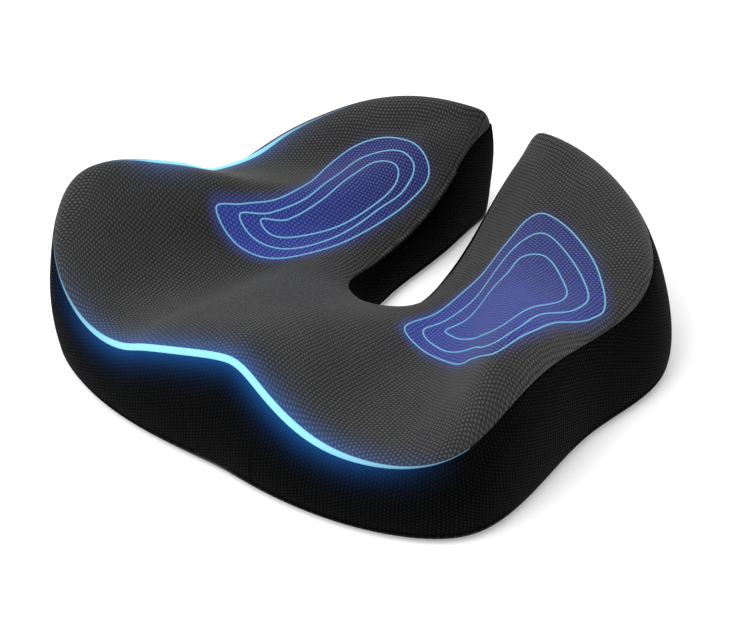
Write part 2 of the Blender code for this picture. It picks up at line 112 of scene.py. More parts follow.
def slot_outline():
    """Plan points from the slot's mouth to the middle of its end."""
    mouth, end, radius = DEPTH - 3 * MM, DEPTH - SLOT_DEPTH, SLOT_END / 2
    points = [(SLOT_MOUTH / 2, mouth)]
    steps = COLUMNS - 2
    for step in range(steps):
        share = (step + 1) / steps
        swell = (radius - SLOT_THROAT / 2) * math.sin(share * math.pi / 2) ** 4
        flare = 4 * MM * math.exp(-((share - 1 / steps) * 7) ** 2)
        points.append((SLOT_THROAT / 2 + swell + flare, mouth - share * (mouth - end - radius)))
    return points + [(radius * 0.70, end + radius * 0.35), (0.0, end)]


def foam_cage():
    """The right half of the foam's cage: rings from the foot to the crown, closed by two grids."""
    outline = [(x * WIDTH / 2, y * DEPTH) for x, y, *_ in OUTLINE] + slot_outline()
    seam = [row[3] * HEIGHT for row in OUTLINE]
    seam += [share * HEIGHT - SLOT_SEAM_DROP * MM for share in SLOT_CROWN]
    crown = [row[5] * HEIGHT for row in OUTLINE] + [share * HEIGHT for share in SLOT_CROWN]
    insets = [(row[2] * MM, row[4] * MM) for row in OUTLINE]
    slot_crown_in = [MOUTH_CROWN_IN] + [SLOT_CROWN_IN] * (len(SLOT_CROWN) - 1)
    insets += [(SLOT_SEAM_IN * MM, inset * MM) for inset in slot_crown_in]
    flip = np.array([[-1.0, 1.0]])
    plan = tightened(outline, flip)
    seam, crown = tightened(seam, 1.0)[:, 0], tightened(crown, 1.0)[:, 0]
    around = np.vstack([plan[1:2] * flip, plan, plan[-2:-1] * flip])
    along = around[2:] - around[:-2]
    along /= np.linalg.norm(along, axis=1)[:, None]
    normal = np.stack([along[:, 1], -along[:, 0]], 1)
    seam_in, crown_in = np.array(insets).T
    levels = (
        (UNDERSIDE_IN, 0),
        (-FOOT_BULGE, FOOT_BULGE),
        (-WALL_BULGE, seam * WALL_MIDDLE),
        (seam_in, seam),
        (crown_in, crown),
    )
    rings = []
    for inset, height in levels:
        ring = np.zeros((len(plan), 3))
        ring[:, :2] = plan - normal * np.reshape(inset, (-1, 1))
        ring[:, 2] = height
        ring[(0, -1), 0] = 0.0
        rings.append(ring)
    bm = bmesh.new()
    made = [[bm.verts.new(point) for point in ring] for ring in rings]
    for level in range(len(rings) - 1):
        for k in range(len(plan) - 1):
            low, high = made[level], made[level + 1]
            face = bm.faces.new((low[k], low[k + 1], high[k + 1], high[k]))
            wall = SIDE if k < COLUMNS + ROWS else SLOT
            face.material_index = (BOTTOM, wall, wall, TOP)[level]
    for ring, sag, panel in ((made[-1], SAG, TOP), (made[0], [0] * len(SAG), BOTTOM)):
        fill_cage(bm, ring, sag, panel)
    return bm


def fill_cage(bm, ring, sag, panel):
    grid = []
    for i in range(COLUMNS + 1):
        line = [ring[i]]
        inner = ring[2 * COLUMNS + ROWS - i]
        for j in range(1, ROWS + 1):
            if i == COLUMNS or j == ROWS:
                line.append(inner if j == ROWS else ring[COLUMNS + j])
                continue
            share = j / ROWS
            point = ring[i].co.lerp(inner.co, share)
            point.z -= sag[i] * HEIGHT * 4 * share * (1 - share)
            line.append(bm.verts.new((point.x if i else 0.0, point.y, point.z)))
        grid.append(line)
    for i in range(COLUMNS):
        for j in range(ROWS):
            corners = [grid[i][j], grid[i + 1][j], grid[i + 1][j + 1], grid[i][j + 1]]
            face = bm.faces.new(corners if panel == TOP else corners[::-1])
            face.material_index = panel


def new_piece(name, mesh_or_bm):
    """A piece in the scene, made from a mesh, or from a bmesh that is freed."""
    mesh = mesh_or_bm
    if isinstance(mesh, bmesh.types.BMesh):
        mesh = bpy.data.meshes.new(name)
        mesh_or_bm.to_mesh(mesh)
        mesh_or_bm.free()
    piece = bpy.data.objects.new(name, mesh)
    bpy.context.scene.collection.objects.link(piece)
    return piece


def baked(piece):
    """The piece's mesh with its modifiers applied; the piece itself is removed."""
    bpy.context.view_layer.update()
    graph = bpy.context.evaluated_depsgraph_get()
    mesh = bpy.data.meshes.new_from_object(piece.evaluated_get(graph), depsgraph=graph)
    bpy.data.objects.remove(piece, do_unlink=True)
    return mesh


def points_of(mesh):
    points = np.empty(len(mesh.vertices) * 3)
    mesh.vertices.foreach_get("co", points)
    return points.reshape(-1, 3)


def put_points(mesh, points):
    mesh.vertices.foreach_set("co", np.asarray(points, np.float32).ravel())
    mesh.update()


def smoothed(bm, levels):
    piece = new_piece("skin", bm)
    for name in ("top", "side", "slot", "bottom"):
        piece.data.materials.append(bpy.data.materials.new(name))
    mirror = piece.modifiers.new("mirror", "MIRROR")
    mirror.use_clip = True
    mirror.merge_threshold = 0.1 * MM
    smooth = piece.modifiers.new("smooth", "SUBSURF")
    smooth.levels = levels
    mesh = baked(piece)
    points = points_of(mesh)
    low, high = points.min(0), points.max(0)
    middle = np.array([(low[0] + high[0]) / 2, (low[1] + high[1]) / 2, low[2]])
    put_points(mesh, (points - middle) * np.array(cad_high - cad_low) / (high - low))
    return mesh


def ramp(low, high, value):
    share = np.clip((value - low) / (high - low), 0, 1)
    return share * share * (3 - 2 * share)


def worn_in(points):
    """The block as it stands: the left side leans out in front, with a fuller wing and a lower waist."""
    x, y, z = points.T.copy()
    up = z / HEIGHT
    left, right, upper = ramp(0, 0.06, -x), ramp(0.02, 0.10, x) * ramp(-0.06, 0.04, y), ramp(0, 0.7, up)
    points[:, 1] -= FRONT_TUCK * np.minimum(y, 0)
    points[:, 0] -= RIGHT_TUCK * x * right * upper
    lean = np.where(y < LEAN_FROM, LEAN_FRONT, LEAN_REAR) * (y - LEAN_FROM)
    points[:, 0] += lean * left * (0.45 + 0.55 * upper)
    wing = np.exp(-(((y + 0.115) / 0.065) ** 2)) * ramp(0.10, 0.21, -x)
    points[:, 2] += WING_RISE * wing * up
    points[:, 0] -= wing * (WING_SWELL * upper + WING_SPREAD * ramp(0.45, 0.95, up))
    waist = np.exp(-(((y - 0.085) / 0.075) ** 2)) * ramp(0.04, 0.18, -x)
    points[:, 2] -= WAIST_DROP * waist * up
    points[:, 0] += WAIST_PINCH * waist * upper
    foot = np.exp(-(((x + 0.020) / 0.014) ** 2) - ((y - 0.02) / 0.035) ** 2) * (1 - ramp(0.1, 0.5, up))
    points[:, 0] += SLOT_FOOT_IN * foot
    return points



def stuffed(mesh):
    """The skin after a cloth pass: a coarse closed copy swells a little, held at its seams and foot."""
    seams = KDTree(len(mesh.vertices))
    edge_panels = {}
    for face in mesh.polygons:
        for key in face.edge_keys:
            edge_panels.setdefault(key, set()).add(face.material_index)
    for key, panels in edge_panels.items():
        if len(panels) > 1:
            seams.insert(mesh.vertices[key[0]].co, key[0])
    seams.balance()
    coarse = new_piece("stuffing", mesh.copy())
    remesh = coarse.modifiers.new("remesh", "REMESH")
    remesh.mode, remesh.voxel_size = "VOXEL", STUFFING_VOXEL
    coarse = new_piece("stuffing", baked(coarse))
    start = points_of(coarse.data)
    held = coarse.vertex_groups.new(name="held")
    for k, point in enumerate(start):
        gap = seams.find(point)[2]
        if gap < SEAM_HOLD or point[2] < FOOT_HOLD:
            held.add([k], 1.0, "REPLACE")
    cloth = coarse.modifiers.new("cloth", "CLOTH")
    cloth.settings.use_pressure = True
    cloth.settings.uniform_pressure_force = STUFFING_PRESSURE
    cloth.settings.effector_weights.gravity = 0
    cloth.settings.vertex_group_mass = "held"
    for moment in range(1, STUFFING_FRAMES + 1):
        bpy.context.scene.frame_set(moment)
    swollen = baked(coarse)
    bpy.context.scene.frame_set(1)
    moves = points_of(swollen) - start
    far = np.linalg.norm(moves, axis=1, keepdims=True)
    moves *= np.minimum(1, STUFFING_CAP / np.maximum(far, 1e-9))
    tree = KDTree(len(start))
    for k, point in enumerate(start):
        tree.insert(point, k)
    tree.balance()
    points = points_of(mesh)
    for point in points:
        spots = tree.find_n(Vector(point), STUFFING_SPOTS)
        weights = np.array([1 / (gap + STUFFING_VOXEL) ** 2 for _, _, gap in spots])
        move = (moves[[k for _, k, _ in spots]] * weights[:, None]).sum(0) / weights.sum()
        gap = np.float64(seams.find(Vector(point))[2])
        free = ramp(*SEAM_FREE, gap) * ramp(*FOOT_FREE, point[2])
        point += move * free
    put_points(mesh, points)


skin = smoothed(foam_cage(), SKIN_LEVELS)
put_points(skin, worn_in(points_of(skin)))
stuffed(skin)

# ---- Liner -----------------------------------------------------------------------------------------
# A thin knitted bag, closed round the foam, that keeps its shape when the cover is off. It stands
# a little inside the cover and is pressed up over the zip, where the foam has a pocket.
LINER_INSET = 3.4 * MM
POCKET_LOW, POCKET_HIGH, POCKET_ROOM = (-0.168, -0.128), (0.168, -0.062), 13 * MM


def node(tree, kind, *links, **settings):
    """A shader node; each link gives one input its value, or the output that feeds it."""
    made = tree.nodes.new("ShaderNode" + kind)
    for key, value in settings.items():
        setattr(made, key, value)
    for name, value in links:
        if isinstance(value, bpy.types.NodeSocket):
            tree.links.new(value, made.inputs[name])
        else:
            made.inputs[name].default_value = value
    return made


def finish_named(name, *links):
    """A material whose shader has the given inputs; its tree is filled in afterwards."""
    made = bpy.data.materials.new(name)
    made.use_nodes = True
    shader = made.node_tree.nodes["Principled BSDF"]
    for key, value in links:
        shader.inputs[key].default_value = value
    return made, made.node_tree, shader


def inset_form(mesh, depth):
    normals = np.empty(len(mesh.vertices) * 3)
    mesh.vertices.foreach_get("normal", normals)
    points = points_of(mesh) - normals.reshape(-1, 3) * depth
    x, y, z = points.T
    inside = (x > POCKET_LOW[0]) & (x < POCKET_HIGH[0]) & (y > POCKET_LOW[1]) & (y < POCKET_HIGH[1])
    points[:, 2] = np.where(inside & (z < POCKET_ROOM), POCKET_ROOM, z)
    put_points(mesh, points)
    return mesh


def finish(piece, body, slot, made, *replaced, fill=None):
    """What every piece says: the body it rides on, its finish, and the solids it stands for."""
    piece.data.materials.clear()
    piece.data.materials.append(made)
    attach(piece, body)
    if replaced:
        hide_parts(*replaced)


liner_skin = smoothed(foam_cage(), 3)
put_points(liner_skin, worn_in(points_of(liner_skin)))
liner_skin.polygons.foreach_set("material_index", [0] * len(liner_skin.polygons))
liner = new_piece("liner", inset_form(liner_skin, LINER_INSET))
liner_knit, tree, shader = finish_named("Liner knit", ("Roughness", 0.9), ("Sheen Weight", 0.2))
place = node(tree, "TexCoord").outputs["Object"]
ribs = node(tree, "TexWave", ("Vector", place), ("Scale", 420), ("Distortion", 1.5), ("Detail", 1))
tint = node(tree, "ValToRGB", (0, ribs.outputs["Fac"]))
tint.color_ramp.elements[0].color = (0.035, 0.035, 0.04, 1)
tint.color_ramp.elements[1].color = (0.09, 0.09, 0.10, 1)
tree.links.new(tint.outputs[0], shader.inputs["Base Color"])
raised = node(tree, "Bump", ("Height", ribs.outputs["Fac"]), ("Distance", 0.3 * MM), ("Strength", 0.6))
tree.links.new(raised.outputs[0], shader.inputs["Normal"])
finish(liner, "cushion", "liner", liner_knit, "foam_core", "inner_liner", fill=0.95)

# ---- Cover, top panel ---------------------------------------------------------------------------
# Knitted spacer mesh of dark polyester, its raised cells in staggered rows, cut in one piece and
# sewn to the band all round, so that its edge rolls down into the seam.
COVER = 2.2 * MM
EDGE_ROLLS = ((1.6 * MM, 0.15 * MM), (0.8 * MM, 0.9 * MM))
CELLS_PER_METRE, ROW_SQUEEZE = 285, 1.4


def panel_from(skin, name, panels):
    """The skin's faces of some panels, their edge rolled into the seam, as a sheet of cloth."""
    bm = bmesh.new()
    bm.from_mesh(skin)
    others = [face for face in bm.faces if face.material_index not in panels]
    bmesh.ops.delete(bm, geom=others, context="FACES")
    bm.normal_update()
    for width, drop in EDGE_ROLLS:
        bmesh.ops.inset_region(bm, faces=bm.faces, thickness=width, use_boundary=True, use_even_offset=False)
        for vert in bm.verts:
            if vert.is_boundary:
                vert.co -= vert.normal * drop
    for face in bm.faces:
        face.material_index = 0
        face.smooth = True
    return new_piece(name, bm)


def marked(mesh, name, values):
    values = np.asarray(values, np.float32)
    kind, key = ("FLOAT", "value") if values.ndim == 1 else ("FLOAT_VECTOR", "vector")
    mesh.attributes.new(name, kind, "POINT").data.foreach_set(key, values.ravel())


def thickened(piece, thickness):
    """The piece with the cloth's thickness on its inner side, made fast in its mesh."""
    name, shell = piece.name, piece.modifiers.new("thickness", "SOLIDIFY")
    shell.thickness, shell.offset = thickness, -1.0
    mesh = baked(piece)
    piece = new_piece(name, mesh)
    piece.data.polygons.foreach_set("use_smooth", [True] * len(mesh.polygons))
    return piece


def laid_flat(points, tree):
    """Places in the flat cloth: lengths measured over the hollows along and across the cushion."""
    step = 4 * MM
    xs, ys = np.arange(-0.26, 0.261, step), np.arange(-0.24, 0.241, step)
    heights = np.zeros((len(ys), len(xs)))
    for j, y in enumerate(ys):
        last = 0.08
        for i, x in enumerate(xs):
            hit = tree.ray_cast(Vector((x, y, 0.3)), Vector((0, 0, -1)))[0]
            last = hit.z if hit else last
            heights[j, i] = last
    for _ in range(3):
        along, across = heights[:-2, 1:-1] + heights[2:, 1:-1], heights[1:-1, :-2] + heights[1:-1, 2:]
        heights[1:-1, 1:-1] = (along + across) / 4
    rise_y, rise_x = np.gradient(heights, step)
    u = np.cumsum(np.sqrt(1 + np.clip(rise_x, -1, 1) ** 2), axis=1) * step
    v = np.cumsum(np.sqrt(1 + np.clip(rise_y, -1, 1) ** 2), axis=0) * step
    u -= u[:, len(xs) // 2][:, None]
    v -= v[len(ys) // 2][None, :]
    at_x = np.clip((points[:, 0] - xs[0]) / step, 0, len(xs) - 1.001)
    at_y = np.clip((points[:, 1] - ys[0]) / step, 0, len(ys) - 1.001)
    i, j = at_x.astype(int), at_y.astype(int)
    s, t = at_x - i, at_y - j
    out = np.zeros_like(points)
    for axis, table in enumerate((u, v)):
        low = table[j, i] * (1 - s) + table[j, i + 1] * s
        high = table[j + 1, i] * (1 - s) + table[j + 1, i + 1] * s
        out[:, axis] = low * (1 - t) + high * t
    return out


def spacer_mesh():
    """The group for the cloth's raised cells: a height, and a mask that is 1 on each cell's top."""
    group = bpy.data.node_groups.new("Spacer mesh", "ShaderNodeTree")
    for name, kind in (("Place", "Vector"), ("Cells", "Float"), ("Slack", "Float")):
        group.interface.new_socket(name, in_out="INPUT", socket_type="NodeSocket" + kind)
    for name in ("Height", "Cell", "Fleck"):
        group.interface.new_socket(name, in_out="OUTPUT", socket_type="NodeSocketFloat")
    given, put = group.nodes.new("NodeGroupInput"), group.nodes.new("NodeGroupOutput")

    def vector(operation, first, *links):
        return node(group, "VectorMath", (0, first), *links, operation=operation).outputs[0]

    even = vector("SCALE", given.outputs["Place"], ("Scale", given.outputs["Cells"]))
    rows = vector("MULTIPLY", even, (1, (1, ROW_SQUEEZE, 1)))
    drift = node(group, "TexNoise", ("Vector", rows), ("Scale", 0.16), ("Detail", 3))
    centred = vector("SUBTRACT", drift.outputs["Color"], (1, (0.5, 0.5, 0.5)))
    spot = vector("ADD", rows, (1, vector("SCALE", centred, ("Scale", given.outputs["Slack"]))))
    total = None
    for way in ((7.255, 0, 0), (-3.628, 5.2, 0), (-3.628, -5.2, 0)):
        turn = node(group, "VectorMath", (0, spot), (1, way), operation="DOT_PRODUCT")
        swing = node(group, "Math", (0, turn.outputs["Value"]), operation="COSINE").outputs[0]
        if total is not None:
            swing = node(group, "Math", (0, total), (1, swing), operation="ADD").outputs[0]
        total = swing
    cell = node(group, "MapRange", ("Value", total), ("From Min", -1.1), ("From Max", 1.7),
                interpolation_type="SMOOTHSTEP")
    threads = node(group, "TexNoise", ("Vector", spot), ("Scale", 4.5), ("Detail", 2))
    fine = node(group, "Math", (0, threads.outputs["Fac"]), (1, 0.35), operation="MULTIPLY")
    height = node(group, "Math", (0, cell.outputs[0]), (1, fine.outputs[0]), operation="ADD")
    patch = node(group, "TexNoise", ("Vector", rows), ("Scale", 0.035), ("Detail", 2))
    group.links.new(height.outputs[0], put.inputs["Height"])
    group.links.new(cell.outputs[0], put.inputs["Cell"])
    group.links.new(patch.outputs["Fac"], put.inputs["Fleck"])
    return group


SPACER_MESH = spacer_mesh()


def mixed(tree, share, first, second, blend="MIX"):
    """Two colours mixed by a share that changes over the surface."""
    return node(
        tree, "Mix", (0, share), (6, first), (7, second), data_type="RGBA", blend_type=blend
    ).outputs[2]


def mesh_cloth(name, gap, cell, cells_per_metre, depth, sheen):
    """Spacer mesh in one colour, with painted shade darkening the gaps between its cells; returns the
    material and the parts that a panel adds to.
    """
    made, tree, shader = finish_named(
        name, ("Sheen Weight", sheen), ("Sheen Roughness", 0.45), ("Specular IOR Level", 0.3)
    )
    place = node(tree, "Attribute", attribute_name="weave")
    cloth = tree.nodes.new("ShaderNodeGroup")
    cloth.node_tree = SPACER_MESH
    cloth.inputs["Cells"].default_value = cells_per_metre
    cloth.inputs["Slack"].default_value = 0.9
    tree.links.new(place.outputs["Vector"], cloth.inputs["Place"])
    # The gaps between the raised cells are coloured darker than the cell tops: painted shade in the hollows.
    shade = mixed(tree, cloth.outputs["Cell"], (*gap, 1), (*cell, 1))
    dusty = node(tree, "MapRange", ("Value", cloth.outputs["Fleck"]), ("From Min", 0.3), ("From Max", 0.7),
                 ("To Min", 0.75), ("To Max", 1.2))
    shade = node(tree, "VectorMath", (0, shade), ("Scale", dusty.outputs[0]), operation="SCALE").outputs[0]
    rough = node(tree, "MapRange", ("Value", cloth.outputs["Cell"]), ("To Min", 0.95), ("To Max", 0.62))
    tree.links.new(rough.outputs[0], shader.inputs["Roughness"])
    raised = node(tree, "Bump", ("Height", cloth.outputs["Height"]), ("Distance", depth), ("Strength", 1.0))
    tree.links.new(raised.outputs[0], shader.inputs["Normal"])
    return made, tree, shader, cloth, shade


skin_tree = BVHTree.FromPolygons(
    [v.co for v in skin.vertices],
    [p.vertices for p in skin.polygons if p.material_index == TOP],
)
top = panel_from(skin, "top_panel", {TOP})
marked(top.data, "weave", laid_flat(points_of(top.data), skin_tree))

# ---- Pressure zones -----------------------------------------------------------------------------
# Two blue zones on the thigh and seat hollows, each with three thin raised lines one inside the
# other, as printed and piped on the cover. The lines glow, and so do the zones, brighter towards
# their front tips and softly just past their edge: painted light, as none of them is a lamp.
# They can be left out without touching the rest.
ZONES = {
    "left": (
        ((-136, -32), (-124, -11), (-108, 18), (-104, 52), (-110, 85), (-103, 113), (-80, 133),
         (-50, 136), (-34, 128), (-38, 102), (-50, 60), (-64, 20), (-86, -16), (-112, -31)),
        ((-123, -18), (-108, 4), (-95, 35), (-93, 70), (-90, 103), (-70, 122), (-47, 124),
         (-44, 106), (-52, 80), (-66, 33), (-84, 0), (-105, -16)),
        ((-111, -5), (-97, 14), (-86, 45), (-82, 80), (-75, 104), (-58, 113), (-51, 103),
         (-57, 76), (-70, 41), (-88, 10), (-101, -4)),
    ),
    "right": (
        ((57, -36), (61, 0), (65, 38), (76, 78), (79, 104), (90, 116), (120, 107), (160, 78),
         (187, 46), (187, 24), (178, -10), (177, -50), (168, -84), (138, -69), (108, -53), (78, -45)),
        ((67, -25), (75, 3), (86, 40), (90, 80), (103, 96), (135, 80), (170, 49), (175, 25),
         (168, -15), (169, -55), (158, -73), (121, -46), (92, -38)),
        ((81, -14), (93, 2), (104, 30), (102, 60), (118, 71), (145, 52), (161, 29), (159, -10),
         (157, -50), (140, -50), (112, -30), (92, -21)),
    ),
}
LINE_WIDTH, LINE_HEIGHT, LINE_STEPS = 1.3 * MM, 0.5 * MM, 12


def rounded_line(corners, steps, closed=True):
    """A smooth line through the corners."""
    corners = np.array(corners, float)
    count = len(corners)
    out = []
    for k in range(count if closed else count - 1):
        if closed:
            a, b, c, d = (corners[(k + n) % count] for n in (-1, 0, 1, 2))
        else:
            a, b, c, d = (corners[min(max(k + n, 0), count - 1)] for n in (-1, 0, 1, 2))
        for step in range(steps):
            t = step / steps
            bend, turn = 2 * a - 5 * b + 4 * c - d, 3 * b - a - 3 * c + d
            out.append(0.5 * (2 * b + (c - a) * t + bend * t**2 + turn * t**3))
    return np.array(out if closed else out + [corners[-1]])


def distance_inside(points, line):
    """How far each plan point is inside the closed line; negative outside."""
    points = points[:, :2]
    ends = np.roll(line, -1, axis=0)
    nearest = np.full(len(points), 1.0)
    inside = np.zeros(len(points), bool)
    for (ax, ay), (bx, by) in zip(line, ends):
        run = np.array([bx - ax, by - ay])
        share = np.clip(((points - (ax, ay)) @ run) / max(run @ run, 1e-12), 0, 1)
        gap = points - (ax, ay) - share[:, None] * run
        nearest = np.minimum(nearest, np.hypot(gap[:, 0], gap[:, 1]))
        crosses = (ay > points[:, 1]) != (by > points[:, 1])
        with np.errstate(divide="ignore", invalid="ignore"):
            cut = ax + (points[:, 1] - ay) * (bx - ax) / (by - ay)
        inside ^= crosses & (points[:, 0] < cut)
    return np.where(inside, nearest, -nearest)


def on_cover(plan, tree):
    """Points on the cover over plan points, with the cover's normals."""
    found = [tree.ray_cast(Vector((x, y, 0.3)), Vector((0, 0, -1)))[:2] for x, y in plan]
    return [spot for spot in found if spot[0] is not None]


def tube(bm, spots, widths, heights, sides, closed):
    """A cord of oval section laid along spots, each a point and the normal of what it lies on."""
    rings = []
    for k, (point, normal) in enumerate(spots):
        after = spots[(k + 1) % len(spots)][0] if closed or k + 1 < len(spots) else point
        before = spots[k - 1][0] if closed or k else point
        along = (after - before).normalized()
        across = along.cross(normal).normalized()
        rings.append([
            bm.verts.new(
                point + across * math.cos(turn) * widths[k] / 2 + normal * math.sin(turn) * heights[k]
            )
            for turn in (2 * math.pi * side / sides for side in range(sides))
        ])
    last = len(rings) if closed else len(rings) - 1
    for k in range(last):
        low, high = rings[k], rings[(k + 1) % len(rings)]
        for side in range(sides):
            nxt = (side + 1) % sides
            bm.faces.new((low[side], high[side], high[nxt], low[nxt]))
    if not closed:
        bm.faces.new(rings[0])
        bm.faces.new(rings[-1][::-1])
    for face in bm.faces:
        face.smooth = True


points = points_of(top.data)
outer_lines = {side: rounded_line(lines[0], LINE_STEPS) * MM for side, lines in ZONES.items()}
zone = np.maximum(*(distance_inside(points, line) for line in outer_lines.values()))
marked(top.data, "zone", np.clip(zone, -0.03, 0.03))
# A mask for the zones' painted glow: brightest at their front tips.
tip_glow = np.exp(-(((points[:, 1] + 0.030) / 0.050) ** 2))
tip_glow += 0.45 * np.exp(-(((points[:, 1] - 0.030) / 0.070) ** 2))
marked(top.data, "zone_tip_glow", np.clip(tip_glow, 0, 1))

# The raised lines emit light: a painted glow, though they are no lamps.
glowing_line_blue, tree, shader = finish_named(
    "Zone line", ("Base Color", (0.03, 0.08, 0.11, 1)), ("Roughness", 0.5), ("Emission Strength", 1.0)
)
place = node(tree, "TexCoord").outputs["Object"]
glimmer = node(tree, "TexNoise", ("Vector", place), ("Scale", 900), ("Detail", 1))
lit = mixed(tree, glimmer.outputs["Fac"], (0.10, 0.31, 0.50, 1), (0.16, 0.41, 0.60, 1))
tree.links.new(lit, shader.inputs["Emission Color"])
for side_name, lines in ZONES.items():
    for depth_name, corners in zip(("outer", "middle", "inner"), lines):
        spots = on_cover(rounded_line(corners, LINE_STEPS) * MM, skin_tree)
        bm = bmesh.new()
        tube(bm, spots, [LINE_WIDTH] * len(spots), [LINE_HEIGHT] * len(spots), 6, True)
        finish(new_piece(f"zone_line_{side_name}_{depth_name}", bm), "cushion", "mesh_fabric", glowing_line_blue)

# ---- Glow strands -------------------------------------------------------------------------------
# Two soft light-blue strands: one lies along the front seam, and one along the far top edge of
# the left side. Both thin out to nothing at their ends. They can be left out like the zones.
FAR_EDGE = ((-213, -88), (-206, -72), (-196, -60), (-184, -45), (-176, -22), (-179, 2),
            (-186, 25), (-182, 46), (-174, 70), (-165, 95), (-149, 119), (-128, 139))
GLOW_WIDTH, GLOW_HEIGHT, GLOW_REACH = 5.5 * MM, 2.2 * MM, 9 * MM
FRONT_START, FRONT_END = (-0.218, -0.138), (0.186, -0.140)


def seam_line(mesh):
    """The seam between top and side, as points in order round the front from left to right."""
    bm = bmesh.new()
    bm.from_mesh(mesh)
    on_seam = {}
    for edge in bm.edges:
        if {face.material_index for face in edge.link_faces} == {TOP, SIDE}:
            for vert in edge.verts:
                on_seam[vert.index] = (vert.co.copy(), vert.normal.copy())
    bm.free()
    front = [spot for spot in on_seam.values() if spot[0].y < 0.05]
    return sorted(front, key=lambda spot: math.atan2(spot[0].x, 0.06 - spot[0].y))


seam = seam_line(skin)
first = min(range(len(seam)), key=lambda k: (seam[k][0].xy - Vector(FRONT_START)).length)
last = min(range(len(seam)), key=lambda k: (seam[k][0].xy - Vector(FRONT_END)).length)
front_spots = seam[first:last + 1]
far_spots = on_cover(rounded_line(FAR_EDGE, 8, closed=False) * MM, skin_tree)
glow_blue, tree, shader = finish_named(
    "Glow strand", ("Base Color", (0.04, 0.10, 0.13, 1)), ("Roughness", 0.6), ("Emission Strength", 1.0)
)
fade = node(tree, "Attribute", attribute_name="fade").outputs["Fac"]
lit = mixed(tree, fade, (0.01, 0.05, 0.14, 1), (0.30, 0.80, 1.0, 1))
tree.links.new(lit, shader.inputs["Emission Color"])
strands = []
for name, spots in (("front", front_spots), ("far", far_spots)):
    share = np.linspace(0, 1, len(spots))
    swell = np.clip(np.minimum(share, 1 - share) / 0.35, 0, 1)
    swell = swell * swell * (3 - 2 * swell)
    thick = 0.12 + 0.88 * swell
    bm = bmesh.new()
    tube(bm, spots, thick * GLOW_WIDTH, thick * GLOW_HEIGHT, 8, False)
    strand = new_piece(f"glow_{name}", bm)
    marked(strand.data, "fade", np.repeat(swell, 8))
    finish(strand, "cushion", "mesh_fabric", glow_blue)
    strands.append((np.array([list(spot[0]) for spot in spots]), swell))


def lit_by(points):
    """How much of the strands' light reaches each point of the cover."""
    found = np.zeros(len(points))
    for line, swell in strands:
        tree = KDTree(len(line))
        for k, spot in enumerate(line):
            tree.insert(spot, k)
        tree.balance()
        for k, point in enumerate(points):
            _, nearest, gap = tree.find(point)
            found[k] = max(found[k], swell[nearest] * math.exp(-((gap / GLOW_REACH) ** 1.3)))
    return found


HALO = (0.010, 0.090, 0.32, 1)
marked(top.data, "glow", lit_by(points))
top_mesh, tree, shader, cloth, shade = mesh_cloth(
    "Top spacer mesh", (0.012, 0.012, 0.0125), (0.043, 0.0425, 0.042), CELLS_PER_METRE, 0.9 * MM, 0.12
)
# The top panel emits light where it is painted to glow: in and just round the zones, and in the strands'
# halo.
shader.inputs["Emission Strength"].default_value = 1.0
inside = node(tree, "Attribute", attribute_name="zone").outputs["Fac"]
printed = node(tree, "MapRange", ("Value", inside), ("From Min", -0.4 * MM),
               ("From Max", 0.6 * MM)).outputs[0]
# The zones' blue print, also darker in the gaps between the cells as painted shade.
blue = mixed(tree, cloth.outputs["Cell"], (0.006, 0.009, 0.050, 1), (0.046, 0.062, 0.25, 1))
shade = mixed(tree, printed, shade, blue)
tree.links.new(shade, shader.inputs["Base Color"])
# Painted glow of the zones: it fades out 11 mm past their edge and is brightest at the tips.
near = node(tree, "MapRange", ("Value", inside), ("From Min", -11 * MM), ("From Max", 2 * MM),
            interpolation_type="SMOOTHSTEP").outputs[0]
tip_glow = node(tree, "Attribute", attribute_name="zone_tip_glow").outputs["Fac"]
bright = mixed(tree, tip_glow, (0.002, 0.004, 0.024, 1), (0.010, 0.024, 0.16, 1))
bright = mixed(tree, near, (0, 0, 0, 1), bright)
glow = node(tree, "Attribute", attribute_name="glow").outputs["Fac"]
bright = mixed(tree, glow, bright, HALO)
tree.links.new(bright, shader.inputs["Emission Color"])
top = thickened(top, COVER)
finish(top, "cushion", "mesh_fabric", top_mesh, "cover_top_panel", fill=0.9)

# ---- Cover, bands -------------------------------------------------------------------------------
# The same spacer mesh as the top, its colour darkened to near-black as painted shade: one band
# round the outside, and a second, darker still with painted shade, lines the slot. Each is
# sewn to the top panel above and to the underside below.


def wall_weave(mesh):
    """Places in a band's flat cloth: length round the cushion, then height."""
    points = points_of(mesh)
    tree = KDTree(len(rim_line))
    for k, spot in enumerate(rim_line):
        tree.insert((spot[0], spot[1], 0), k)
    tree.balance()
    near = np.array([tree.find((x, y, 0))[1] for x, y, _ in points])
    best, out = np.full(len(points), 9.0), np.zeros_like(points)
    for back in (1, 0):
        start = rim_line[(near - back) % len(rim_line), :2]
        run = rim_line[(near - back + 1) % len(rim_line), :2] - start
        share = np.clip(((points[:, :2] - start) * run).sum(1) / (run * run).sum(1), 0, 1)
        gap = np.linalg.norm(points[:, :2] - start - share[:, None] * run, axis=1)
        length = rim_length[(near - back) % len(rim_line)] + share * np.linalg.norm(run, axis=1)
        out[:, 0] = np.where(gap < best, length, out[:, 0])
        best = np.minimum(best, gap)
    out[:, 1] = points[:, 2] * 1.03
    return out


